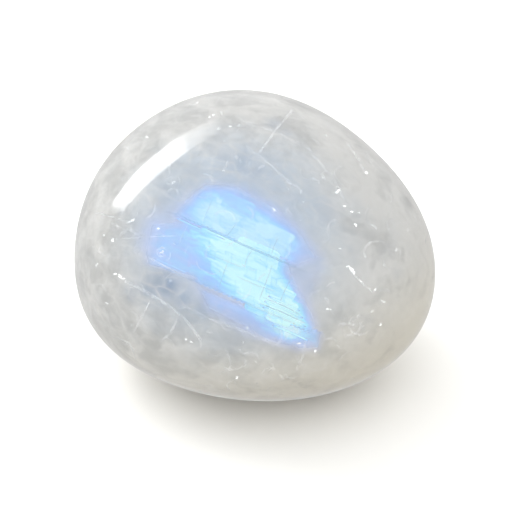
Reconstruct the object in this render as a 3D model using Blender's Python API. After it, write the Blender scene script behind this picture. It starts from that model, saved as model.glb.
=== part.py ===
"""A tumbled moonstone: one solid pebble, about 30 mm wide, resting on a small flat spot.

Blender 4.5, metres, +Z up. The front of the stone faces -Y. The origin is on the surface the
stone rests on, under the middle of the stone's box.
"""

import math

import bmesh
import bpy
from mathutils import Vector

MM = 0.001

# Driving dimensions
# A tumbled stone is a broken lump whose faces have worn round into each other. Each face is given
# by the way it looks, as degrees round from +X towards +Y and degrees up from level, and by how
# far it lies from the middle of the lump, in millimetres.
WORN_FACES = (
    ("right", -6, -3, 22.3),
    ("upper right", 25, 40, 13.9),
    ("top back", 97, 50, 17.2),
    ("upper left", 169, 19, 15.9),
    ("lower left", 197, -37, 16.2),
    ("under front", -94, -39, 13.8),
    ("lower right", -18, -35, 17.6),
    ("front left", -124, 21, 14.9),
    ("front right", -64, 20, 14.1),
    ("top", -105, 79, 13.1),
    ("back left", 114, -1, 14.0),
    ("back right", 53, -20, 14.7),
    ("under back", 101, -53, 15.6),
    ("bottom", 0, -90, 13.8),
)
EDGE_SHARPNESS = 3.7  # 2 would be a smooth egg, and 10 a block with crisp edges

# The spot the stone rests on
SPOT_DEPTH = 0.80 * MM  # how far up from the lump's lowest point the stone is worn flat
SPOT_BLEND = 0.20 * MM  # how softly the round side runs into the flat
SPOT_SHAVE = 0.02 * MM  # the last of the roundness, cut away to leave a true flat
SPOT_RIM_STEP = 0.15 * MM  # corners of the flat's rim nearer than this are joined

SURFACE_STEPS = 5  # 5 gives 5,120 triangles, with sides of about 0.9 mm
CREASE_ANGLE = math.radians(30)  # edges sharper than this, as round the flat, are shaded as edges

# Colours, roughness and light bending from the photograph and the mineral
MILKY_WHITE = (0.60, 0.61, 0.62, 1.0)
POLISH_ROUGHNESS = 0.10
FELDSPAR_IOR = 1.52
CLEARNESS = 0.5


def facing(around, up):
    """The unit direction of a face, from its two angles in degrees."""
    a = math.radians(around)
    u = math.radians(up)
    return Vector((math.cos(u) * math.cos(a), math.cos(u) * math.sin(a), math.sin(u)))


def reach(direction, faces):
    """How far the worn surface lies from the middle of the lump, along one direction."""
    total = 0.0
    for normal, distance in faces:
        toward = direction.dot(normal) / distance
        if toward > 0.0:
            total += toward**EDGE_SHARPNESS
    return total ** (-1.0 / EDGE_SHARPNESS)


def soft_floor(height, floor):
    """The height, held above the floor with a soft turn instead of a crease."""
    above = (height - floor) / SPOT_BLEND
    turn = math.log1p(math.exp(-abs(above)))
    return floor + SPOT_BLEND * (max(above, 0.0) + turn)


def wear_round(bm):
    """Moves the points of a ball out to the worn surface, and flattens the underside."""
    faces = [(facing(around, up), distance * MM) for _, around, up, distance in WORN_FACES]
    for vert in bm.verts:
        direction = vert.co.normalized()
        vert.co = direction * reach(direction, faces)
    floor = min(vert.co.z for vert in bm.verts) + SPOT_DEPTH
    for vert in bm.verts:
        vert.co.z = soft_floor(vert.co.z, floor)
    return floor + SPOT_SHAVE


def shave_flat(bm, level):
    """Cuts the stone off level and closes the cut with one flat face."""
    everything = bm.verts[:] + bm.edges[:] + bm.faces[:]
    cut = bmesh.ops.bisect_plane(
        bm, geom=everything, plane_co=(0.0, 0.0, level), plane_no=(0.0, 0.0, 1.0), clear_inner=True
    )
    corners = [item for item in cut["geom_cut"] if isinstance(item, bmesh.types.BMVert)]
    bmesh.ops.remove_doubles(bm, verts=corners, dist=SPOT_RIM_STEP)
    rim = [edge for edge in bm.edges if edge.is_boundary]
    bmesh.ops.edgeloop_fill(bm, edges=rim)


def set_on_origin(bm):
    """Puts the flat spot at height zero and the middle of the stone's box over the origin."""
    low = [min(vert.co[axis] for vert in bm.verts) for axis in range(3)]
    high = [max(vert.co[axis] for vert in bm.verts) for axis in range(3)]
    middle = Vector(((low[0] + high[0]) / 2, (low[1] + high[1]) / 2, low[2]))
    bmesh.ops.translate(bm, verts=bm.verts[:], vec=-middle)


def moonstone_material():
    """Polished, half clear feldspar."""
    material = bpy.data.materials.new("moonstone")
    material.use_nodes = True
    shader = material.node_tree.nodes["Principled BSDF"]
    shader.inputs["Base Color"].default_value = MILKY_WHITE
    shader.inputs["Roughness"].default_value = POLISH_ROUGHNESS
    shader.inputs["Metallic"].default_value = 0.0
    shader.inputs["IOR"].default_value = FELDSPAR_IOR
    shader.inputs["Transmission Weight"].default_value = CLEARNESS
    return material


def build_moonstone():
    """The whole stone, as one closed solid."""
    bm = bmesh.new()
    bmesh.ops.create_icosphere(bm, subdivisions=SURFACE_STEPS, radius=1.0)
    level = wear_round(bm)
    shave_flat(bm, level)
    set_on_origin(bm)
    bmesh.ops.recalc_face_normals(bm, faces=bm.faces[:])
    mesh = bpy.data.meshes.new("moonstone")
    bm.to_mesh(mesh)
    bm.free()
    mesh.shade_smooth()
    mesh.set_sharp_from_angle(angle=CREASE_ANGLE)
    mesh.materials.append(moonstone_material())
    stone = bpy.data.objects.new("moonstone", mesh)
    bpy.context.scene.collection.objects.link(stone)
    return stone


def main():
    for leftover in list(bpy.data.objects):
        bpy.data.objects.remove(leftover, do_unlink=True)
    build_moonstone()


main()
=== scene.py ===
# Tumbled moonstone: a polished pebble, milky and half clear, with a blue flash inside it.
import math
import random

import bpy
import numpy as np
from mathutils import Matrix, Vector
from mathutils.bvhtree import BVHTree


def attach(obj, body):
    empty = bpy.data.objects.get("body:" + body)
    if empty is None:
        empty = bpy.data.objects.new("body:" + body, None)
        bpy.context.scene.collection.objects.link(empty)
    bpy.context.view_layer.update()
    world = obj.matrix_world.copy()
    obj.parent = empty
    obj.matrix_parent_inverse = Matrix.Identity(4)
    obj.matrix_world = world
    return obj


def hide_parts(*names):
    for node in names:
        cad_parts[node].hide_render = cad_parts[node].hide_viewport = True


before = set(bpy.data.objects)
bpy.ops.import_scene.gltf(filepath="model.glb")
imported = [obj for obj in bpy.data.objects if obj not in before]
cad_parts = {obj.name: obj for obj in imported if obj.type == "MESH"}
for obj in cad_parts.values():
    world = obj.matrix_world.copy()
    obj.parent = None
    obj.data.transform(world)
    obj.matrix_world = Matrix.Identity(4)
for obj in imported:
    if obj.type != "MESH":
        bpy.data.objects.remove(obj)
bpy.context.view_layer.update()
scene = bpy.context.scene
mm = 0.001
white = (1, 1, 1, 1)
black = (0, 0, 0, 1)

# How the photograph was taken. Places in it are given in its own pixels, 512 each way.
photo = {
    "pixels": 512,
    "pixelSize": 0.0836 * mm,  # how wide one pixel is at the stone
    "distance": 300 * mm,
    "lookDown": 36,  # degrees
    "stonePixel": (252.3, 251.5),  # the pixel where the middle of the stone lies
    "sensor": 36,
}
stoneMiddle = Vector((-0.2, -0.13, 11.34)) * mm
centrePixel = photo["pixels"] / 2

lookDown = math.radians(photo["lookDown"])
toRight = Vector((1, 0, 0))
toTop = Vector((0, math.sin(lookDown), math.cos(lookDown)))
toCamera = Vector((0, -math.cos(lookDown), math.sin(lookDown)))


def deselectAll():
    if bpy.context.object and bpy.context.object.mode != "OBJECT":
        bpy.ops.object.mode_set(mode="OBJECT")
    bpy.ops.object.select_all(action="DESELECT")


def makeOnly(piece):
    deselectAll()
    piece.select_set(True)
    bpy.context.view_layer.objects.active = piece
    return piece


def addModifier(piece, kind, **settings):  # added and applied at once
    makeOnly(piece)
    modifier = piece.modifiers.new(kind.lower(), kind)
    for name, value in settings.items():
        setattr(modifier, name, value)
    bpy.ops.object.modifier_apply(modifier=modifier.name)


def pointsOf(piece):
    points = np.zeros(len(piece.data.vertices) * 3, np.float32)
    piece.data.vertices.foreach_get("co", points)
    return points.reshape(-1, 3).astype(float)


def movePoints(piece, points):
    piece.data.vertices.foreach_set("co", np.asarray(points, np.float32).ravel())
    piece.data.update()


def joinAll(pieces, name):
    deselectAll()
    for piece in pieces:
        piece.select_set(True)
    bpy.context.view_layer.objects.active = pieces[0]
    bpy.ops.object.join()
    joined = bpy.context.object
    joined.name = name
    return joined


def finishPiece(piece, material):
    piece.data.materials.clear()
    piece.data.materials.append(material)
    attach(piece, "root")
    return piece


# Camera
def pixelRay(x, y):  # the direction of sight through a pixel of the photograph
    across = toRight * (x - centrePixel) + toTop * (centrePixel - y)
    return (across * photo["pixelSize"] - toCamera * photo["distance"]).normalized()


def addCamera():
    offRight = centrePixel - photo["stonePixel"][0]
    offTop = photo["stonePixel"][1] - centrePixel
    aim = stoneMiddle + (toRight * offRight + toTop * offTop) * photo["pixelSize"]
    deselectAll()
    bpy.ops.object.camera_add(
        location=aim + toCamera * photo["distance"], rotation=(math.pi / 2 - lookDown, 0, 0)
    )
    made = bpy.context.object
    made.name = "camera"
    made.data.sensor_width = photo["sensor"]
    made.data.lens = photo["sensor"] * photo["distance"] / (photo["pixels"] * photo["pixelSize"])
    made.data.clip_start = 10 * mm
    made.data.clip_end = 10
    scene.camera = made
    return made


camera = addCamera()
print("camera ready")


# Small helpers for materials
def addNode(tree, kind, sockets=(), **settings):
    made = tree.nodes.new("ShaderNode" + kind)
    for name, value in settings.items():
        setattr(made, name, value)
    for name, value in dict(sockets).items():
        if isinstance(value, bpy.types.NodeSocket):
            tree.links.new(value, made.inputs[name])
        else:
            made.inputs[name].default_value = value
    return made


def calc(tree, operation, first, second=0.0, clamp=False):
    return addNode(
        tree, "Math", {0: first, 1: second}, operation=operation, use_clamp=clamp
    ).outputs[0]


def spread(tree, value, low, high, toLow=0.0, toHigh=1.0):  # a smooth step between two values
    return addNode(
        tree,
        "MapRange",
        {"Value": value, "From Min": low, "From Max": high, "To Min": toLow, "To Max": toHigh},
        interpolation_type="SMOOTHSTEP",
    ).outputs[0]


def mixColours(tree, amount, first, second, way="MIX"):
    return addNode(
        tree, "Mix", {0: amount, 6: first, 7: second}, data_type="RGBA", blend_type=way
    ).outputs[2]


def stretch(tree, place, shares):
    return addNode(tree, "VectorMath", {0: place, 1: shares}, operation="MULTIPLY").outputs[0]


def valueOf(tree, name):  # what a piece's own attribute says at each point
    return addNode(tree, "Attribute", attribute_name=name).outputs["Fac"]


def newMaterial(name, roughness):
    material = bpy.data.materials.new(name)
    material.use_nodes = True
    shader = material.node_tree.nodes["Principled BSDF"]
    shader.inputs["Roughness"].default_value = roughness
    return material, material.node_tree, shader


def newGroup(name, sizes, results):  # from a place and some sizes it gives shares
    tree = bpy.data.node_groups.new(name, "ShaderNodeTree")
    tree.interface.new_socket("Place", in_out="INPUT", socket_type="NodeSocketVector")
    for title, value in sizes.items():
        socket = tree.interface.new_socket(title, in_out="INPUT", socket_type="NodeSocketFloat")
        socket.default_value = value
    for title in results:
        tree.interface.new_socket(title, in_out="OUTPUT", socket_type="NodeSocketFloat")
    given = tree.nodes.new("NodeGroupInput").outputs
    result = tree.nodes.new("NodeGroupOutput").inputs
    return tree, given, result


def addGroup(tree, group, place, sizes=()):
    made = tree.nodes.new("ShaderNodeGroup")
    made.node_tree = group
    tree.links.new(place, made.inputs["Place"])
    for title, value in dict(sizes).items():
        made.inputs[title].default_value = value
    return made.outputs


# The way the crystal splits: along the lines of the flash, across them, and flat to the flash
cleavage = {
    "lineSlope": 23.8,  # degrees below level, going right
    "turnedLeft": 2,  # degrees that the flash plane looks left of the camera
    "turnedUp": 2,  # and above it
}


def cleavageFrame():
    slope = math.radians(cleavage["lineSlope"])
    left = math.radians(cleavage["turnedLeft"])
    up = math.radians(cleavage["turnedUp"])
    outward = (toCamera - toRight * math.tan(left) + toTop * math.tan(up)).normalized()
    along = toRight * math.cos(slope) - toTop * math.sin(slope)
    along = (along - outward * along.dot(outward)).normalized()
    return along, outward.cross(along), outward


alongLines, acrossLines, flashOutward = cleavageFrame()
cleavageTurn = Matrix((alongLines, acrossLines, flashOutward)).to_euler()


def stonePlace(tree):  # where on the stone, in millimetres
    where = addNode(tree, "TexCoord").outputs["Object"]
    return addNode(tree, "Mapping", {"Vector": where, "Scale": (1000, 1000, 1000)}).outputs[0]


def turnToLines(tree, place):  # measured along the lines, across them and out of the flash
    return addNode(tree, "Mapping", {"Vector": place, "Rotation": cleavageTurn}).outputs[0]


# The grain of the crystal, from its place in millimetres: blocks with seams between them, streaks
# along the flash lines, and milky clouds
grainLook = {
    "bend": {"Scale": 0.55, "Detail": 3.0},
    "bendReach": 1.3,  # mm
    "sizes": {"Block Size": 1.6, "Seam Width": 0.06, "Cloud Size": 5.0},  # mm
    "blockShape": (0.62, 1.0, 0.8),  # how often they come along the lines, across and outward
    "blockMess": 0.85,
    "rimShare": 0.26,  # of a block's size
    "seamFade": (0.3, 1.0),  # shares of a seam's width
    "streakShape": (0.22, 3.2, 0.9),
    "streaks": {"Scale": 1.0, "Detail": 4.0, "Roughness": 0.6},
    "clouds": {"Detail": 3.0, "Roughness": 0.5, "Distortion": 0.4},
}


def makeGrainGroup():
    results = ("Blocks", "Rims", "Seams", "Streaks", "Clouds")
    tree, given, result = newGroup("crystalGrain", grainLook["sizes"], results)
    place = given["Place"]
    wander = addNode(tree, "TexNoise", {"Vector": place, **grainLook["bend"]}).outputs["Color"]
    shifted = addNode(
        tree, "VectorMath", {0: wander, 1: (0.5, 0.5, 0.5)}, operation="SUBTRACT"
    ).outputs[0]
    shifted = addNode(
        tree, "VectorMath", {0: shifted, "Scale": grainLook["bendReach"]}, operation="SCALE"
    ).outputs[0]
    bent = addNode(tree, "VectorMath", {0: place, 1: shifted}, operation="ADD").outputs[0]
    turned = turnToLines(tree, bent)
    cells = {
        "Vector": stretch(tree, turned, grainLook["blockShape"]),
        "Scale": calc(tree, "DIVIDE", 1.0, given["Block Size"]),
        "Randomness": grainLook["blockMess"],
    }
    near = addNode(tree, "TexVoronoi", cells).outputs["Color"]
    edge = addNode(tree, "TexVoronoi", cells, feature="DISTANCE_TO_EDGE").outputs["Distance"]
    tone = addNode(tree, "SeparateColor", {"Color": near}).outputs[0]
    tree.links.new(tone, result["Blocks"])
    tree.links.new(spread(tree, edge, 0.0, grainLook["rimShare"], 1.0, 0.0), result["Rims"])
    width = calc(tree, "DIVIDE", given["Seam Width"], given["Block Size"])
    closeness = calc(tree, "DIVIDE", edge, width)
    tree.links.new(spread(tree, closeness, *grainLook["seamFade"], 1.0, 0.0), result["Seams"])
    lines = stretch(tree, turned, grainLook["streakShape"])
    streaks = addNode(tree, "TexNoise", {"Vector": lines, **grainLook["streaks"]}).outputs[0]
    tree.links.new(streaks, result["Streaks"])
    cloudScale = calc(tree, "DIVIDE", 1.0, given["Cloud Size"])
    clouds = addNode(
        tree, "TexNoise", {"Vector": bent, "Scale": cloudScale, **grainLook["clouds"]}
    ).outputs[0]
    tree.links.new(clouds, result["Clouds"])
    return tree


# Where the stone is clear, and where light and shade are painted into its colour toward its foot,
# its right side and across it
zones = {
    "clearMiddle": stoneMiddle + (toRight * -1.5 + toTop * 1.5 + toCamera * 10.5) * mm,
    "clearReach": (6.0, 14.0),  # mm from its middle, where the clear share begins and ends to fall
    "clearShare": 0.75,
    "ragged": 5.0,  # mm
    "edge": {"Scale": 0.4, "Detail": 4.0},
    "footLightingHeights": (-2.0, 14.0),  # mm, painted shade and light toward its foot: a warm, darker tint for the floor's shadow in the polish, and more milk inside
    "footLightingLean": 0.28,  # and toward its right side
    "footLightingShares": (1.0, 0.05),
    "sideLightWidth": (-15.0, 13.0),  # mm from left to right, over which painted light makes it milkier, so lighter, toward its right and greyer toward its left
    "sideLightAdded": (-0.05, 0.10),
}


def makeZonesGroup():
    tree, given, result = newGroup("stoneZones", {}, ("Clear", "FootLighting", "PaintedSideLight"))
    place = given["Place"]
    middle = tuple(zones["clearMiddle"] / mm)
    apart = addNode(tree, "VectorMath", {0: place, 1: middle}, operation="SUBTRACT").outputs[0]
    distance = addNode(tree, "VectorMath", {0: apart}, operation="LENGTH").outputs["Value"]
    edge = addNode(tree, "TexNoise", {"Vector": place, **zones["edge"]}).outputs[0]
    distance = calc(tree, "ADD", distance, calc(tree, "MULTIPLY", edge, zones["ragged"]))
    clear = spread(tree, distance, *zones["clearReach"], zones["clearShare"], 0.0)
    tree.links.new(clear, result["Clear"])
    along = addNode(tree, "SeparateXYZ", {0: place}).outputs
    height = calc(tree, "SUBTRACT", along[2], calc(tree, "MULTIPLY", along[0], zones["footLightingLean"]))
    footShade = spread(tree, height, *zones["footLightingHeights"], *zones["footLightingShares"])
    tree.links.new(footShade, result["FootLighting"])
    milk = spread(tree, along[0], *zones["sideLightWidth"], *zones["sideLightAdded"])
    tree.links.new(milk, result["PaintedSideLight"])
    return tree


grainGroup = makeGrainGroup()
zonesGroup = makeZonesGroup()


def zoneColour(tree, look, grain, zone):  # milk and grey by the clouds and by painted light across it, and clear in the middle
    milkAndPaintedLight = calc(tree, "ADD", grain["Clouds"], zone["PaintedSideLight"])
    colour = mixColours(tree, spread(tree, milkAndPaintedLight, *look["milkFrom"]), look["grey"], look["milk"])
    return mixColours(tree, zone["Clear"], colour, look["clear"])


def rimShares(tree, look, grain):
    plain = spread(tree, grain["Blocks"], *look["rimBlocks"], *look["rimShares"])
    return calc(tree, "MULTIPLY", grain["Rims"], plain)


def seamShares(tree, look, grain):
    plain = spread(tree, grain["Clouds"], *look["seamClouds"], *look["seamShares"])
    return calc(tree, "MULTIPLY", grain["Seams"], plain)


def stoneCopy(name, inward, roundings):  # the CAD stone's mesh, shrunk inward and made rounder
    piece = bpy.data.objects.new(name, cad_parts["moonstone"].data.copy())
    scene.collection.objects.link(piece)
    makeOnly(piece)
    bpy.ops.object.mode_set(mode="EDIT")
    bpy.ops.mesh.select_all(action="SELECT")
    bpy.ops.mesh.remove_doubles(threshold=0.001 * mm)
    bpy.ops.mesh.normals_make_consistent(inside=False)
    if inward:
        bpy.ops.transform.shrink_fatten(value=-inward)
    bpy.ops.object.mode_set(mode="OBJECT")
    addModifier(piece, "SUBSURF", levels=roundings, render_levels=roundings)
    return piece


# Stone body
stone = {
    "roundings": 2,
    "ior": 1.52,
    "clearness": 0.8,
    "soaksUp": (0.58, 0.61, 0.66, 1),  # the tint that light takes on inside
    "soakDensity": 52,  # and how fast, per metre
    "roughness": 0.08,
    "grain": {"Block Size": 1.2, "Seam Width": 0.05, "Cloud Size": 2.4},  # mm
    "milkFrom": (0.38, 0.62),  # cloud values between which grey turns to milk
    "rimBlocks": (0.1, 0.9),  # block values between which the rims grow plain
    "rimShares": (0.0, 0.45),
    "seamClouds": (0.5, 0.62),  # and cloud values for the seams
    "seamShares": (0.0, 0.3),
    "milk": (0.82, 0.82, 0.81, 1),
    "grey": (0.72, 0.73, 0.73, 1),
    "clear": (0.64, 0.75, 0.87, 1),
    # painted shade: the warm, darker tint of its foot and right side
    "footShade": (0.84, 0.79, 0.69, 1),
}


def makeStoneBody():
    piece = stoneCopy("stoneBody", 0, stone["roundings"])
    bpy.ops.object.shade_smooth()
    return piece


def makePolishedMoonstone():
    material, tree, shader = newMaterial("polishedMoonstone", stone["roughness"])
    place = stonePlace(tree)
    grain = addGroup(tree, grainGroup, place, stone["grain"])
    zone = addGroup(tree, zonesGroup, place)
    colour = zoneColour(tree, stone, grain, zone)
    colour = mixColours(tree, rimShares(tree, stone, grain), colour, stone["milk"])
    colour = mixColours(tree, seamShares(tree, stone, grain), colour, white)
    # painted shade: a warm, darker tint toward the foot and right side, for the floor's shadow in
    # the polish
    colour = mixColours(tree, zone["FootLighting"], colour, stone["footShade"])
    tree.links.new(colour, shader.inputs["Base Color"])
    shader.inputs["IOR"].default_value = stone["ior"]
    shader.inputs["Transmission Weight"].default_value = stone["clearness"]
    soak = addNode(
        tree, "VolumeAbsorption", {"Color": stone["soaksUp"], "Density": stone["soakDensity"]}
    )
    tree.links.new(soak.outputs[0], tree.nodes["Material Output"].inputs["Volume"])
    return material


body = makeStoneBody()
bodyTree = BVHTree.FromObject(body, bpy.context.evaluated_depsgraph_get())
print("stone body shaped")


def sightInside(x, y):  # where the sight through a pixel enters the stone, and how it bends there
    ray = pixelRay(x, y)
    entry, normal, _, _ = bodyTree.ray_cast(camera.location, ray)
    cosine = -ray.dot(normal)
    slowing = 1 / stone["ior"]
    root = math.sqrt(1 - slowing**2 * (1 - cosine**2))
    return entry, (ray * slowing + normal * (slowing * cosine - root)).normalized()


def insideAt(x, y, depth):  # a point seen through a pixel, so deep along the bent sight
    entry, bent = sightInside(x, y)
    return entry + bent * depth


# Cloudy inside: the milk of the stone, a little under its surface
cloud = {
    "depth": 1.7 * mm,
    "behindFlash": 1.2 * mm,
    "pushed": 0.9,  # how much of what would stand before the flash goes back
    "softEdge": 0.7 * mm,
    "lumps": 0.8 * mm,  # how far its surface swells and sinks
    "lumpSize": 2.6 * mm,
    "roundings": 2,
    "roughness": 0.55,
    "grain": {"Block Size": 1.3, "Seam Width": 0.09, "Cloud Size": 2.2},  # mm
    "milkFrom": (0.36, 0.62),  # this and the next four mean what they do on the stone body
    "rimBlocks": (0.1, 0.9),
    "rimShares": (0.1, 0.8),
    "seamClouds": (0.45, 0.6),
    "seamShares": (0.1, 0.9),
    "streaksFrom": (0.56, 0.70),
    "streakShare": 0.4,
    "footLightMilk": 0.45,  # painted light: milk added toward the foot, to make it lighter there
    "milk": (0.95, 0.945, 0.925, 1),
    "grey": (0.68, 0.68, 0.67, 1),
    "clear": (0.74, 0.84, 0.98, 1),
    "patch": (0.06, 0.22, 0.50, 1),
    # painted shade: the warm, darker tint laid over its foot
    "footShade": (0.98, 0.94, 0.84, 1),
    "cellZone": (0.15, 0.5),  # foot-lighting shares between which its cells grow plain to see
    "cellsAbove": 0.5,  # how plain they are above that
    "patchDepth": 9 * mm,  # how far in from the skin its patches reach
    # Where the milk is thin and one looks into dark clear stone: pixel, reach in pixels, share
    "patches": (
        (167, 285, 11, 0.9), (148, 291, 9, 0.5), (183, 299, 8, 0.5), (203, 307, 8, 0.4),
        (244, 161, 12, 0.28), (226, 156, 9, 0.2), (256, 172, 9, 0.22), (169, 190, 10, 0.1),
        (274, 124, 9, 0.35), (286, 133, 7, 0.3), (364, 325, 9, 0.22), (389, 250, 9, 0.08),
        (398, 272, 8, 0.1), (330, 215, 12, 0.14), (131, 291, 9, 0.45), (236, 345, 9, 0.15),
        (158, 287, 14, 0.5),
    ),
}


def makeCloud():
    piece = stoneCopy("milkyInside", cloud["depth"], cloud["roundings"])
    lumps = bpy.data.textures.new("cloudLumps", "CLOUDS")
    lumps.noise_scale = cloud["lumpSize"]
    lumpy = {"texture": lumps, "texture_coords": "LOCAL", "strength": cloud["lumps"]}
    addModifier(piece, "DISPLACE", **lumpy, mid_level=0.5)
    # What would stand before the flash is pushed back behind it
    points = pointsOf(piece)
    floor = insideAt(*flash["middle"], flashSteps["lower"]["depth"] + cloud["behindFlash"])
    before = (points - np.array(floor)) @ np.array(flashOutward)
    soft = cloud["softEdge"]
    before = soft * np.log1p(np.exp(before / soft))
    points -= np.outer(before * cloud["pushed"], np.array(flashOutward))
    movePoints(piece, points)
    shares = np.zeros(len(points))
    for x, y, reach, share in cloud["patches"]:
        entry, bent = sightInside(x, y)
        away = points - np.array(entry)
        along = away @ np.array(bent)
        off = np.linalg.norm(away - np.outer(along, np.array(bent)), axis=1)
        near = share * np.exp(-((off / (reach * photo["pixelSize"])) ** 2))
        shares = np.maximum(shares, np.where(along < cloud["patchDepth"], near, 0))
    patch = piece.data.attributes.new("patch", "FLOAT", "POINT")
    patch.data.foreach_set("value", shares.astype(np.float32))
    bpy.ops.object.shade_smooth()
    return piece


def makeMilkyInside():
    material, tree, shader = newMaterial("milkyInside", cloud["roughness"])
    place = stonePlace(tree)
    grain = addGroup(tree, grainGroup, place, cloud["grain"])
    zone = addGroup(tree, zonesGroup, place)
    colour = zoneColour(tree, cloud, grain, zone)
    colour = mixColours(tree, valueOf(tree, "patch"), colour, cloud["patch"])
    low = spread(tree, zone["FootLighting"], *cloud["cellZone"], cloud["cellsAbove"], 1.0)
    rims = calc(tree, "MULTIPLY", rimShares(tree, cloud, grain), low)
    colour = mixColours(tree, rims, colour, cloud["milk"])
    streaks = spread(tree, grain["Streaks"], *cloud["streaksFrom"], 0.0, cloud["streakShare"])
    colour = mixColours(tree, streaks, colour, white)
    seams = calc(tree, "MULTIPLY", seamShares(tree, cloud, grain), low)
    colour = mixColours(tree, seams, colour, white)
    # painted light and shade toward the foot: more milk, then a warm, darker tint
    milkAndPaintedLight = calc(tree, "MULTIPLY", zone["FootLighting"], cloud["footLightMilk"])
    colour = mixColours(tree, milkAndPaintedLight, colour, cloud["milk"])
    colour = mixColours(tree, zone["FootLighting"], colour, cloud["footShade"], "MULTIPLY")
    tree.links.new(colour, shader.inputs["Base Color"])
    return material


# Blue flash: a painted sheen on three steps of one cleavage plane, glowing by itself and brightest
# toward its middle and bright spots. An outline point has its pixel and how softly the light ends
# on the side that starts there, in pixels.
flash = {
    "middle": (240, 262),  # the pixel that the steps' depths are measured at
    "gridStep": 2.0,  # pixels
    "brightSpots": (  # pixel, reach in pixels, strength
        (217, 211, 16, 0.75),
        (257, 236, 14, 0.8),
        (281, 245, 10, 0.55),
        (226, 250, 15, 0.6),
        (246, 266, 15, 0.75),
        (258, 281, 14, 0.9),
        (272, 300, 12, 0.7),
        (288, 322, 12, 0.75),
    ),
    "faint": 0.36,  # how bright the flash is away from its bright spots
    "brightest": 1.15,
    "nearest": 0.25 * mm,  # no nearer to the skin than this
    # how strongly the painted sheen glows by itself, with no lamp
    "strength": 0.48,
    "roughness": 0.3,
    "hides": 0.55,  # the glow from which it hides what is behind it
    "blockLean": 0.35,
    "blockShape": (0.62, 1.0, 1.0),
    "blocks": {"Scale": 1.15, "Randomness": 0.8},
    "blockLevels": (0.82, 1.16),
    "seamWidth": 0.12,
    "seamLevel": 0.86,
    "streaksFrom": (0.3, 0.7),
    "streakLevels": (0.80, 1.16),
    "tones": (  # from the faintest glow to the brightest
        (0.0, (0.52, 0.57, 0.82, 1)),
        (0.18, (0.36, 0.50, 0.95, 1)),
        (0.38, (0.24, 0.53, 1.00, 1)),
        (0.62, (0.28, 0.76, 1.00, 1)),
        (1.0, (0.60, 1.0, 1.0, 1)),
    ),
}
flashSteps = {
    "upper": {
        "depth": 3.7 * mm,
        "outline": (
            (160, 213, 24), (178, 190, 30), (202, 170, 34), (243, 171, 36), (279, 189, 36),
            (309, 216, 34), (344, 262, 24), (306, 275, 8), (248, 249, 1), (200, 227, 1),
        ),
    },
    "middle": {
        "depth": 2.9 * mm,
        "outline": (
            (125, 240, 40), (132, 208, 30), (172, 206, 8), (200, 224, 1), (248, 246, 1),
            (303, 265, 30), (318, 292, 30), (331, 323, 20), (320, 338, 1), (281, 320, 1),
            (210, 289, 1), (190, 281, 10), (131, 266, 30),
        ),
    },
    "lower": {
        "depth": 3.9 * mm,
        "outline": (
            (178, 274, 10), (246, 302, 1), (281, 317, 1), (331, 334, 18), (326, 360, 22),
            (288, 360, 30), (246, 348, 34), (198, 324, 28),
        ),
    },
}
# Haze: a faint painted glow of the flash sheen around it, glowing by itself
flashHaze = {
    "depth": 3.3 * mm,
    "outline": (
        (118, 232, 26), (140, 198, 26), (195, 172, 28), (250, 170, 28), (300, 200, 26),
        (342, 258, 22), (326, 300, 22), (332, 345, 20), (300, 366, 22), (230, 344, 26),
        (178, 297, 28), (126, 262, 26),
    ),
    "glow": 0.19,
}
# The cracks across the flash and along it: pixels, width in pixels, strength
flashGaps = (
    (
        ((166, 211), (176, 214), (200, 225), (224, 236), (248, 247), (277, 259), (306, 272)),
        2.6,
        0.9,
    ),
    (((150, 261), (190, 279), (210, 287), (246, 303), (281, 318), (313, 332)), 2.4, 0.5),
    (((262, 297), (284, 306), (301, 315)), 1.5, 0.75),
    (((259, 303), (282, 312), (305, 323)), 1.5, 0.8),
    (((272, 265), (266, 283), (259, 300)), 1.7, 0.5),
    (((252, 250), (247, 258), (244, 268)), 1.5, 0.45),
    (((278, 238), (274, 246), (271, 256)), 1.5, 0.45),
    (((237, 222), (231, 231), (226, 237)), 1.4, 0.4),
    (((292, 276), (284, 292), (279, 305)), 1.6, 0.45),
    (((190, 222), (183, 234), (178, 247)), 1.4, 0.3),
    (((228, 262), (223, 275), (219, 288)), 1.4, 0.35),
    (((212, 200), (207, 212), (203, 222)), 1.4, 0.3),
    (((201, 250), (226, 261), (244, 268)), 1.3, 0.35),
    (((236, 276), (256, 285), (276, 292)), 1.3, 0.35),
)
gapLook = {
    "depth": 2.65 * mm,
    "wandering": 0.15,  # pixels
    "tone": (0.16, 0.45, 0.76, 1),
    # a faint painted glow of the flash sheen in its cracks
    "glowTone": (0.16, 0.45, 0.85, 1),
    "strength": 0.3,
    "roughness": 0.5,
    "shown": 0.55,
}
lineLook = {"depth": 2.55 * mm, "wandering": 0.1}
# Bright lines of the painted, self-glowing flash sheen: pixels, width in pixels, strength
flashLines = (
    (((268, 296), (286, 304), (300, 311)), 1.6, 1.3),
    (((264, 301), (284, 309), (303, 318)), 2.0, 1.4),
    (((262, 307), (284, 316), (306, 327)), 1.4, 1.2),
    (((174, 217), (200, 229), (226, 240)), 1.2, 0.7),
    (((272, 325), (292, 333), (309, 341)), 2.0, 1.1),
    (((152, 257), (172, 266), (190, 274)), 1.6, 0.45),
)


def flashPoint(x, y, depth):  # where the sight through a pixel meets a step of the flash plane
    middle = insideAt(*flash["middle"], depth)
    entry, bent = sightInside(x, y)
    reach = (middle - entry).dot(flashOutward) / bent.dot(flashOutward)
    return entry + bent * max(reach, flash["nearest"])


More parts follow.
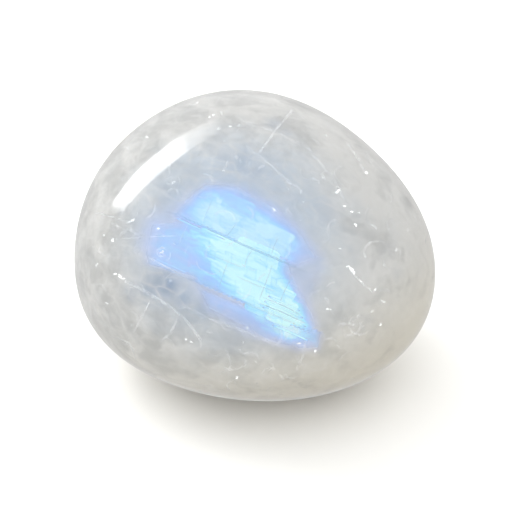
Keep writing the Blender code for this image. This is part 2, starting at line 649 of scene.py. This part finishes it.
def insideShare(x, y, outline):  # 0 outside an outline, rising to 1 inside it
    share = 1.0
    crossings = 0
    for (ax, ay, soft), (bx, by, _) in zip(outline, outline[1:] + outline[:1]):
        if (ay > y) != (by > y) and x < (bx - ax) * (y - ay) / (by - ay) + ax:
            crossings += 1
        length = math.hypot(bx - ax, by - ay)
        t = min(max(((x - ax) * (bx - ax) + (y - ay) * (by - ay)) / length**2, 0), 1)
        away = math.hypot(x - ax - t * (bx - ax), y - ay - t * (by - ay))
        share = min(share, away / soft)
    share = share if crossings % 2 else 0.0
    return share * share * (3 - 2 * share)


def glowAt(x, y):  # how bright the flash is at a pixel, apart from its outline
    total = flash["faint"]
    for sx, sy, reach, strength in flash["brightSpots"]:
        total += strength * math.exp(-((x - sx) ** 2 + (y - sy) ** 2) / (2 * reach**2))
    return min(total, flash["brightest"])


def setGlow(piece, values):
    glow = piece.data.attributes.new("glow", "FLOAT", "POINT")
    glow.data.foreach_set("value", np.asarray(values, np.float32))


def makeFlashSheet(name, step, glowFrom):
    xs = [p[0] for p in step["outline"]]
    ys = [p[1] for p in step["outline"]]
    columns = int((max(xs) - min(xs)) / flash["gridStep"])
    rows = int((max(ys) - min(ys)) / flash["gridStep"])
    deselectAll()
    bpy.ops.mesh.primitive_grid_add(x_subdivisions=columns, y_subdivisions=rows, size=1)
    sheet = bpy.context.object
    sheet.name = name
    pixels = pointsOf(sheet)
    pixels[:, 0] = min(xs) + (pixels[:, 0] + 0.5) * (max(xs) - min(xs))
    pixels[:, 1] = min(ys) + (0.5 - pixels[:, 1]) * (max(ys) - min(ys))
    shares = [insideShare(x, y, step["outline"]) for x, y, _ in pixels]
    movePoints(sheet, pixels)
    bpy.ops.object.mode_set(mode="EDIT")
    bpy.ops.mesh.select_all(action="DESELECT")
    bpy.ops.object.mode_set(mode="OBJECT")
    for face in sheet.data.polygons:
        face.select = max(shares[i] for i in face.vertices) <= 0
    bpy.ops.object.mode_set(mode="EDIT")
    bpy.ops.mesh.delete(type="FACE")
    bpy.ops.object.mode_set(mode="OBJECT")
    pixels = pointsOf(sheet)
    setGlow(sheet, [insideShare(x, y, step["outline"]) * glowFrom(x, y) for x, y, _ in pixels])
    movePoints(sheet, [flashPoint(x, y, step["depth"]) for x, y, _ in pixels])
    bpy.ops.object.shade_smooth()
    return sheet


# Cleavage plates: small blocks of the crystal in the flash, each glowing by itself in the painted
# flash sheen at its own brightness
plates = {
    "reach": (115, 90),  # pixels each way from the flash's middle, along the lines and across
    "length": (17, 30),  # pixels along the lines
    "width": (10, 17),  # and across them
    "firstShift": 20,  # how much later a row may start
    "apart": (0.5, 3),
    "shift": 3,  # how far each may lie off its row
    "thick": 0.05 * mm,
    "bevel": 0.12,  # share of its size
    "raised": (0.036 * mm, 0.192 * mm),
    "skew": 0.35,
    "tilt": 3,  # degrees
    "seed": 11,
    "fromShare": 0.7,  # only this far inside a step's outline, with both ends
    "fromBrightness": 0.6,  # and where the flash is at least this bright
    "filled": 0.75,  # share of those places
    "tone": (0.93, 1.07),
    "brightest": 1.2,
}


def copyOf(mesh, name):
    piece = bpy.data.objects.new(name, mesh.copy())
    scene.collection.objects.link(piece)
    return piece


def makeFirstPlate():
    deselectAll()
    bpy.ops.mesh.primitive_cube_add(size=1)
    first = bpy.context.object
    bpy.ops.object.mode_set(mode="EDIT")
    bpy.ops.mesh.select_all(action="SELECT")
    bpy.ops.mesh.bevel(offset=plates["bevel"], segments=1, affect="EDGES")
    bpy.ops.object.mode_set(mode="OBJECT")
    return first


def makePlates():  # the first plate is modelled, and the others are copies of it
    first = makeFirstPlate()
    dice = random.Random(plates["seed"])
    slope = math.radians(cleavage["lineSlope"])
    right = (math.cos(slope), math.sin(slope))
    down = (-math.sin(slope), math.cos(slope))
    farAlong, farAcross = plates["reach"]
    made = []
    for step in flashSteps.values():
        acrossPixels = -farAcross
        while acrossPixels < farAcross:
            width = dice.uniform(*plates["width"])
            alongPixels = -farAlong + dice.uniform(0, plates["firstShift"])
            while alongPixels < farAlong:
                length = dice.uniform(*plates["length"])
                a = alongPixels + length / 2
                b = acrossPixels + width / 2 + dice.uniform(-plates["shift"], plates["shift"])
                x = flash["middle"][0] + right[0] * a + down[0] * b
                y = flash["middle"][1] + right[1] * a + down[1] * b
                ends = [(x + right[0] * r, y + right[1] * r) for r in (-length / 2, 0, length / 2)]
                share = min(insideShare(*end, step["outline"]) for end in ends)
                glow = share * glowAt(x, y)
                chance = dice.random()
                raised = dice.uniform(*plates["raised"])
                tone = dice.uniform(*plates["tone"])
                skew = dice.uniform(-plates["skew"], plates["skew"])
                tilts = [dice.uniform(-plates["tilt"], plates["tilt"]) for _ in range(2)]
                bright = share > plates["fromShare"] and glow > plates["fromBrightness"]
                if bright and chance < plates["filled"]:
                    piece = copyOf(first.data, "plate")
                    middle = flashPoint(x, y, step["depth"]) + flashOutward * raised
                    shapePlate(piece, middle, length, width, skew, tilts)
                    level = min(glow * tone, plates["brightest"])
                    setGlow(piece, [level] * len(piece.data.vertices))
                    made.append(piece)
                alongPixels += length + dice.uniform(*plates["apart"])
            acrossPixels += width
    bpy.data.objects.remove(first)
    return joinAll(made, "flashPlates")


def shapePlate(piece, middle, length, width, skew, tilts):
    size = photo["pixelSize"]
    turn = Matrix((alongLines, acrossLines, flashOutward)).transposed()
    for tilt, axis in zip(tilts, "XY"):
        turn = turn @ Matrix.Rotation(math.radians(tilt), 3, axis)
    points = pointsOf(piece) * np.array([length * size, width * size, plates["thick"]])
    points[:, 0] += points[:, 1] * skew
    movePoints(piece, points @ np.array(turn).T + np.array(middle))


def makeBlueFlash():
    material, tree, shader = newMaterial("blueFlash", flash["roughness"])
    place = stonePlace(tree)
    glow = valueOf(tree, "glow")
    turned = addNode(tree, "SeparateXYZ", {0: turnToLines(tree, place)}).outputs
    lean = calc(tree, "MULTIPLY", turned[1], flash["blockLean"])
    lean = calc(tree, "ADD", turned[0], lean)
    square = addNode(tree, "CombineXYZ", {0: lean, 1: turned[1], 2: 0.0}).outputs[0]
    cells = {"Vector": stretch(tree, square, flash["blockShape"]), **flash["blocks"]}
    near, second = [
        addNode(tree, "TexVoronoi", cells, feature=feature, distance="CHEBYCHEV").outputs
        for feature in ("F1", "F2")
    ]
    tone = addNode(tree, "SeparateColor", {"Color": near["Color"]}).outputs[0]
    seam = calc(tree, "SUBTRACT", second["Distance"], near["Distance"])
    seam = spread(tree, seam, 0.0, flash["seamWidth"], flash["seamLevel"], 1.0)
    ripple = calc(tree, "MULTIPLY", spread(tree, tone, 0.0, 1.0, *flash["blockLevels"]), seam)
    streaks = addGroup(tree, grainGroup, place)["Streaks"]
    streak = spread(tree, streaks, *flash["streaksFrom"], *flash["streakLevels"])
    level = calc(tree, "MULTIPLY", glow, calc(tree, "MULTIPLY", ripple, streak))
    tones = addNode(tree, "ValToRGB", {"Fac": level})
    stops = tones.color_ramp.elements
    stops[0].color = flash["tones"][0][1]
    stops[1].color = flash["tones"][-1][1]
    for position, colour in flash["tones"][1:-1]:
        stops.new(position).color = colour
    tree.links.new(tones.outputs[0], shader.inputs["Base Color"])
    # painted sheen: the flash glows by itself in its own tones
    tree.links.new(tones.outputs[0], shader.inputs["Emission Color"])
    shader.inputs["Emission Strength"].default_value = flash["strength"]
    tree.links.new(spread(tree, glow, 0.0, flash["hides"]), shader.inputs["Alpha"])
    return material


def alongPath(path, share):  # the place at a share of the way along a row of points, and the way on
    lengths = [math.dist(a, b) for a, b in zip(path, path[1:])]
    left = share * sum(lengths)
    for a, b, length in zip(path, path[1:], lengths):
        if left <= length or b == path[-1]:
            t = min(left / length, 1)
            goes = (b[0] - a[0]) / length, (b[1] - a[1]) / length
            return a[0] + (b[0] - a[0]) * t, a[1] + (b[1] - a[1]) * t, *goes
        left -= length


def letLightBy(piece):  # it glows by itself, and darkens nothing behind it
    piece.visible_shadow = False
    piece.visible_diffuse = False
    return piece


# Strips: each follows its path with a little wandering. Its second side lies one width away, and
# where it sinks into the stone it fades out toward that side.
stripLook = {
    "step": 2,  # pixels
    "rows": 4,
    "ends": (6, 0.1),  # how fast it comes up from its ends, and from what share
    "sides": (4, 0.3),
    "sinkingTop": (3, 0.2),
    "sinkingFade": 0.6,
}


def rise(away, fade):  # the share of its glow that a strip has so far from an end or a side
    return min(1, fade[0] * away + fade[1])


def makeStrips(name, strips, placeAt, wandering, sinks):
    dice = random.Random(name)
    made = []
    for path, width, strength in strips:
        length = sum(math.dist(a, b) for a, b in zip(path, path[1:]))
        steps = int(length / stripLook["step"])
        wander = [dice.uniform(-1, 1) * wandering for _ in range(steps + 2)]
        deselectAll()
        bpy.ops.mesh.primitive_grid_add(
            x_subdivisions=steps, y_subdivisions=stripLook["rows"], size=1
        )
        piece = bpy.context.object
        places = []
        glows = []
        for u, v, _ in pointsOf(piece):
            share = u + 0.5
            down = v + 0.5
            x, y, goesX, goesY = alongPath(path, share)
            off = wander[round(share * steps)] + (down if sinks else down - 0.5) * width
            places.append(placeAt(x - goesY * off, y + goesX * off, down))
            ends = rise(min(share, 1 - share), stripLook["ends"])
            side = rise(min(down, 1 - down), stripLook["sides"])
            if sinks:
                side = rise(down, stripLook["sinkingTop"]) * (1 - down) ** stripLook["sinkingFade"]
            glows.append(strength * ends * side)
        movePoints(piece, places)
        setGlow(piece, glows)
        made.append(piece)
    return joinAll(made, name)


def makeFlashGap():
    material, tree, shader = newMaterial("flashGap", gapLook["roughness"])
    shader.inputs["Base Color"].default_value = gapLook["tone"]
    shader.inputs["Emission Color"].default_value = gapLook["glowTone"]
    shader.inputs["Emission Strength"].default_value = gapLook["strength"]
    shown = calc(tree, "MULTIPLY", valueOf(tree, "glow"), gapLook["shown"])
    tree.links.new(shown, shader.inputs["Alpha"])
    return material


def gapPoint(x, y, down):
    return flashPoint(x, y, gapLook["depth"])


def linePoint(x, y, down):
    return flashPoint(x, y, lineLook["depth"])


milkyInside = makeCloud()
flashMaterial = makeBlueFlash()
for stepName, step in flashSteps.items():
    finishPiece(letLightBy(makeFlashSheet("flash_" + stepName, step, glowAt)), flashMaterial)
haze = makeFlashSheet("flash_haze", flashHaze, lambda x, y: flashHaze["glow"])
finishPiece(letLightBy(haze), flashMaterial)
finishPiece(letLightBy(makePlates()), flashMaterial)
gaps = makeStrips("flashGaps", flashGaps, gapPoint, gapLook["wandering"], False)
finishPiece(letLightBy(gaps), makeFlashGap())
lines = makeStrips("flashLines", flashLines, linePoint, lineLook["wandering"], False)
finishPiece(letLightBy(lines), flashMaterial)
print("blue flash laid")


# Cracks and veins: thin pale walls that go down into the stone, with a painted glow of their own
# in place of the light they catch
cracks = {
    "top": 0.15 * mm,
    "deep": 1.1 * mm,
    "wandering": 0.2,  # pixels
    "tone": (0.95, 0.95, 0.96, 1),
    "glowTone": (0.95, 0.97, 1, 1),
    "strength": 0.6,
    "roughness": 0.6,
    "gaps": {"Scale": 1.6, "Detail": 3.0},
    "gapsFrom": (0.38, 0.58),
    "gapShares": (0.35, 1.0),
    "paths": (  # pixels, width in pixels, strength
        (((120, 276), (145, 289), (168, 303), (188, 320), (202, 338), (203, 352)), 4.2, 0.5),
        (((182, 303), (214, 319), (250, 332), (288, 348)), 3.2, 0.38),
        (((119, 238), (146, 236), (176, 235)), 2.0, 0.35),
        (((148, 256), (170, 268), (190, 278)), 2.2, 0.5),
        (((234, 117), (274, 129), (309, 147), (334, 177), (354, 212)), 4.0, 0.25),
        (((296, 108), (277, 131), (259, 156)), 4.2, 0.42),
        (((243, 141), (270, 163), (300, 190)), 3.6, 0.25),
        (((152, 299), (146, 312), (139, 325), (134, 334)), 3.4, 0.4),
        (((307, 340), (304, 357), (297, 373)), 3.0, 0.35),
        (((330, 306), (345, 331), (351, 342)), 3.6, 0.1),
        (((347, 140), (357, 155), (367, 172)), 4.0, 0.38),
        (((92, 211), (110, 215), (128, 221)), 2.0, 0.4),
        (((110, 335), (130, 342), (138, 361)), 2.2, 0.4),
        (((352, 270), (362, 281), (375, 292)), 3.0, 0.5),
        (((179, 316), (173, 333), (160, 344)), 3.0, 0.35),
        (((226, 346), (232, 362), (229, 377)), 3.0, 0.3),
    ),
}


def crackPoint(x, y, down):
    return insideAt(x, y, cracks["top"] + down * cracks["deep"])


# Curls: small curved cracks all through the stone, with the same painted glow. Glints: painted
# glints, flecks in it that glow by themselves.
curls = {
    "count": 460,
    "radius": (0.3 * mm, 1.1 * mm),
    "turn": (0.9, 3.6),  # how far round each one goes, in radians
    "width": 0.3 * mm,
    "cuts": (12, 2),  # along it and across
    "ends": (5, 0.05),  # how fast it comes up from its ends, and from what share
    "core": 0.3,  # how far out from its middle line it is at its brightest, of its width
    "edgeShare": 0.1,  # how much of its glow a curl keeps at its edges
    "squeeze": (0.5, 1.0),
    "lean": 0.1 * mm,  # how far its outer edge stands up
    "depth": (0.2 * mm, 1.5 * mm),
    "glow": (0.06, 0.3),
    "seed": 21,
    "placedDepth": 0.5 * mm,
    "placedWidth": 3.6,  # pixels
    "placedShare": 0.45,  # of the strength given
    "placedSqueeze": 0.85,
    # pixel, radius in pixels, where it starts and how far it goes round in radians, strength
    "placed": (
        (360, 325, 11, 0.3, 5.2, 0.6), (377, 252, 13, 2.0, 3.6, 0.45), (347, 331, 5, 0.0, 4.2, 0.3),
        (170, 181, 4, 1.0, 4.5, 0.6), (173, 193, 5, 3.0, 4.2, 0.55), (205, 181, 8, 4.2, 3.0, 0.45),
        (162, 252, 5, 0.5, 5.5, 0.7), (240, 156, 4, 2.0, 1.5, 0.8), (338, 228, 10, 2.5, 2.2, 0.45),
        (322, 236, 7, 5.0, 3.0, 0.4), (300, 150, 9, 4.0, 2.4, 0.4), (392, 262, 8, 1.0, 2.6, 0.45),
        (330, 345, 8, 3.4, 2.6, 0.45), (250, 360, 9, 3.6, 2.8, 0.4), (215, 350, 7, 0.4, 2.6, 0.4),
        (105, 250, 6, 1.0, 3.4, 0.5), (98, 290, 7, 4.0, 2.6, 0.4), (385, 300, 6, 0.0, 3.8, 0.45),
        (270, 375, 8, 3.0, 2.4, 0.4), (140, 250, 6, 2.0, 3.0, 0.4), (128, 318, 9, 5.0, 2.8, 0.4),
        (318, 168, 8, 0.5, 2.6, 0.4), (395, 225, 8, 2.2, 2.4, 0.4), (190, 118, 9, 3.6, 2.0, 0.35),
    ),
}
glints = {
    "count": 170,
    "size": (0.05 * mm, 0.15 * mm),
    "depth": (0.1 * mm, 1.6 * mm),
    "long": (0.9, 1.7),  # shares of its size
    "wide": (0.5, 1.0),
    "thick": 0.5,
    "glow": (0.1, 0.4),
    "tone": (0.95, 0.96, 0.97, 1),
    "strength": 0.8,
    "roughness": 0.4,
    "seed": 8,
    "placedDepth": 0.4 * mm,
    "placedGlow": 0.5,
    "flakes": 3,  # in each placed glint
    "flakeApart": 0.7,  # pixels
    "flakeSize": (0.5, 0.9),  # share of the glint's size
    "placed": (  # pixel, size in pixels
        (351, 269, 3.2), (354, 272, 2.2), (348, 266, 1.8), (367, 173, 2.6), (351, 212, 1.8),
        (355, 225, 1.8), (345, 206, 1.5), (337, 192, 2.2), (339, 190, 1.6), (120, 276, 2.8),
        (116, 274, 1.8), (124, 278, 2.0), (146, 137, 1.8), (213, 115, 1.8), (210, 117, 1.4),
        (274, 210, 1.6), (383, 301, 1.4), (380, 325, 1.8), (329, 310, 1.5), (316, 350, 1.8),
        (237, 378, 2.0), (107, 303, 1.6), (113, 240, 1.7), (97, 265, 1.5), (132, 220, 1.7),
        (128, 222, 1.4), (375, 290, 1.3), (361, 281, 1.3), (340, 248, 1.4), (159, 229, 1.4),
        (172, 183, 1.6), (162, 252, 1.5), (185, 340, 1.3), (299, 344, 1.4), (396, 250, 1.2),
    ),
}


def someSkin(dice):  # a place on the stone's skin and the way out of it, picked evenly
    while True:
        outward = Vector([dice.gauss(0, 1) for _ in range(3)]).normalized()
        place, normal, _, _ = bodyTree.ray_cast(stoneMiddle, outward)
        if place is not None:
            return place, normal


def makeCurls():
    dice = random.Random(curls["seed"])
    deselectAll()
    cuts = curls["cuts"]
    bpy.ops.mesh.primitive_grid_add(x_subdivisions=cuts[0], y_subdivisions=cuts[1], size=1)
    first = bpy.context.object
    unit = pointsOf(first) + np.array([0.5, 0.5, 0])
    aside = unit[:, 1] - 0.5
    steepness, least = curls["ends"]
    fade = np.minimum(1, steepness * np.minimum(unit[:, 0], 1 - unit[:, 0]) + least)
    fade *= np.where(abs(aside) > curls["core"], curls["edgeShare"], 1)
    made = []
    for x, y, radius, start, turn, strength in curls["placed"]:
        piece = copyOf(first.data, "curl")
        angles = start + unit[:, 0] * turn
        reach = radius + aside * curls["placedWidth"]
        low = reach * curls["placedSqueeze"]
        pixels = zip(x + np.cos(angles) * reach, y + np.sin(angles) * low)
        movePoints(piece, [insideAt(px, py, curls["placedDepth"]) for px, py in pixels])
        setGlow(piece, strength * fade * curls["placedShare"])
        made.append(piece)
    for _ in range(curls["count"]):
        place, normal = someSkin(dice)
        across = normal.orthogonal().normalized()
        across = across @ Matrix.Rotation(dice.uniform(0, 2 * math.pi), 3, normal)
        other = normal.cross(across)
        radius = dice.uniform(*curls["radius"])
        turn = dice.uniform(*curls["turn"])
        squeeze = dice.uniform(*curls["squeeze"])
        depth = dice.uniform(*curls["depth"])
        glow = dice.uniform(*curls["glow"])
        piece = copyOf(first.data, "curl")
        angles = unit[:, 0] * turn
        reach = radius + aside * curls["width"]
        points = np.outer(np.cos(angles) * reach, np.array(across))
        points += np.outer(np.sin(angles) * reach * squeeze, np.array(other))
        points += np.outer(unit[:, 1] * curls["lean"], np.array(normal))
        movePoints(piece, points + np.array(place - normal * depth))
        setGlow(piece, glow * fade)
        made.append(piece)
    bpy.data.objects.remove(first)
    return joinAll(made, "curls")


def makeGlints():
    dice = random.Random(glints["seed"])
    deselectAll()
    bpy.ops.mesh.primitive_ico_sphere_add(subdivisions=1, radius=1)
    first = bpy.context.object
    unit = pointsOf(first)
    made = []
    places = []
    for x, y, size in glints["placed"]:
        for _ in range(glints["flakes"]):
            aside = dice.gauss(0, glints["flakeApart"])
            below = dice.gauss(0, glints["flakeApart"])
            near = insideAt(x + aside, y + below, glints["placedDepth"])
            radius = size * photo["pixelSize"] * dice.uniform(*glints["flakeSize"])
            places.append((near, radius, glints["placedGlow"]))
    for _ in range(glints["count"]):
        place, normal = someSkin(dice)
        depth = dice.uniform(*glints["depth"])
        least, most = glints["size"]
        size = dice.uniform(0, 1) ** 2 * (most - least) + least  # mostly small
        places.append((place - normal * depth, size, dice.uniform(*glints["glow"])))
    for place, size, glow in places:
        piece = copyOf(first.data, "glint")
        flat = dice.uniform(*glints["long"]), dice.uniform(*glints["wide"]), glints["thick"]
        angle = dice.uniform(0, math.pi)
        turn = Matrix.Rotation(angle, 3, Vector([dice.gauss(0, 1) for _ in range(3)]))
        movePoints(piece, (unit * flat * size) @ np.array(turn).T + np.array(place))
        setGlow(piece, [glow] * len(unit))
        made.append(piece)
    bpy.data.objects.remove(first)
    return joinAll(made, "glints")


def makePaleCrack():
    material, tree, shader = newMaterial("paleCrack", cracks["roughness"])
    gaps = addNode(tree, "TexNoise", {"Vector": stonePlace(tree), **cracks["gaps"]}).outputs[0]
    gaps = spread(tree, gaps, *cracks["gapsFrom"], *cracks["gapShares"])
    shader.inputs["Base Color"].default_value = cracks["tone"]
    # painted light: the cracks and curls glow by themselves
    shader.inputs["Emission Color"].default_value = cracks["glowTone"]
    shader.inputs["Emission Strength"].default_value = cracks["strength"]
    shown = calc(tree, "MULTIPLY", valueOf(tree, "glow"), gaps, True)
    tree.links.new(shown, shader.inputs["Alpha"])
    return material


def makeGlint():
    material, tree, shader = newMaterial("glint", glints["roughness"])
    shader.inputs["Base Color"].default_value = glints["tone"]
    # painted glints: the flecks glow white by themselves
    shader.inputs["Emission Color"].default_value = white
    shader.inputs["Emission Strength"].default_value = glints["strength"]
    tree.links.new(valueOf(tree, "glow"), shader.inputs["Alpha"])
    return material


paleCrack = makePaleCrack()
crackStrips = makeStrips("cracks", cracks["paths"], crackPoint, cracks["wandering"], True)
finishPiece(crackStrips, paleCrack)
finishPiece(makeCurls(), paleCrack)
finishPiece(makeGlints(), makeGlint())
print("cracks and glints laid")

finishPiece(milkyInside, makeMilkyInside())
finishPiece(body, makePolishedMoonstone())
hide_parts("moonstone")
print("stone finished")

# Table and light
studio = {
    "table": (0.97, 0.965, 0.94, 1),
    "tableSize": 3,  # metres
    "tableRoughness": 0.8,
    "sky": (1.12, 1.30),  # behind the stone, and on the camera's side
    "skySpan": (-0.8, 0.9),  # how far round, from behind (-1) to the camera (1), it changes
    "below": 0.66,  # how bright the ground shows in the polish, beside the sky
    "horizon": (-0.2, 0.0),  # how far up, from straight down (-1) to level (0), that changes
    "stripDistance": 0.5,  # metres, as all its lengths
    "stripSize": (0.9, 0.125),
    "stripCuts": (20, 2),
    "stripShift": 0.0225,  # away from the camera
    "stripBow": 0.055,  # how far its middle stands out toward the camera
    "stripBowSpan": 0.20,  # half the length that the bow is measured over
    # Shares of its length over which it starts, turns to its tail, and ends
    "stripFades": ((0.22, 0.29), (0.66, 0.73), (0.74, 0.98)),
    "stripTail": 0.4,  # how bright its tail is beside the rest
    "stripOutward": (-0.665, 0.477, 0.575),  # from the stone, up to the left and behind
    "stripAlong": (0.746, 0.416, 0.518),
    "stripStrength": 10.5,
}


def addTable():
    deselectAll()
    bpy.ops.mesh.primitive_plane_add(size=studio["tableSize"])
    table = bpy.context.object
    table.name = "table"
    material, _, shader = newMaterial("paleTable", studio["tableRoughness"])
    shader.inputs["Base Color"].default_value = studio["table"]
    table.data.materials.append(material)
    table.visible_glossy = False  # the polish shows the dimmer ground of the studio instead


def addStripLight():  # its reflection is the bow-shaped highlight
    outward = Vector(studio["stripOutward"]).normalized()
    along = Vector(studio["stripAlong"])
    along = (along - outward * along.dot(outward)).normalized()
    across = outward.cross(along)
    deselectAll()
    cuts = studio["stripCuts"]
    bpy.ops.mesh.primitive_grid_add(x_subdivisions=cuts[0], y_subdivisions=cuts[1], size=1)
    strip = bpy.context.object
    strip.name = "stripLight"
    flat = pointsOf(strip)
    wide, high = studio["stripSize"]
    bow = studio["stripBow"] * ((flat[:, 0] * wide / studio["stripBowSpan"]) ** 2 - 1)
    points = np.outer(flat[:, 0] * wide, np.array(along))
    points += np.outer(flat[:, 1] * high + bow + studio["stripShift"], np.array(across))
    movePoints(strip, points + np.array(stoneMiddle + outward * studio["stripDistance"]))
    material, tree, shader = newMaterial("stripGlow", 0.5)
    side = addNode(tree, "TexCoord").outputs["UV"]
    side = addNode(tree, "SeparateXYZ", {0: side}).outputs[0]
    start, tail, end = studio["stripFades"]
    level = calc(tree, "MULTIPLY", spread(tree, side, *start), spread(tree, side, *end, 1.0, 0.0))
    level = calc(tree, "MULTIPLY", level, spread(tree, side, *tail, 1.0, studio["stripTail"]))
    level = mixColours(tree, level, black, white)
    shader.inputs["Base Color"].default_value = black
    tree.links.new(level, shader.inputs["Emission Color"])
    shader.inputs["Emission Strength"].default_value = studio["stripStrength"]
    strip.data.materials.append(material)


def addSky():
    world = bpy.data.worlds.new("studio")
    world.use_nodes = True
    tree = world.node_tree
    way = addNode(tree, "TexCoord").outputs["Generated"]
    facing = addNode(
        tree, "VectorMath", {0: way, 1: tuple(toCamera)}, operation="DOT_PRODUCT"
    ).outputs["Value"]
    level = spread(tree, facing, *studio["skySpan"], *studio["sky"])
    upward = addNode(tree, "SeparateXYZ", {0: way}).outputs[2]
    ground = spread(tree, upward, *studio["horizon"], studio["below"], 1.0)
    level = calc(tree, "MULTIPLY", level, ground)
    tree.nodes["Background"].inputs["Color"].default_value = white
    tree.links.new(level, tree.nodes["Background"].inputs["Strength"])
    scene.world = world


addTable()
addStripLight()
addSky()
scene.view_settings.view_transform = "Standard"
scene.cycles.max_bounces = 7
scene.cycles.diffuse_bounces = 3
scene.cycles.glossy_bounces = 2
scene.cycles.transmission_bounces = 6
scene.cycles.transparent_max_bounces = 12
print("table and light ready")
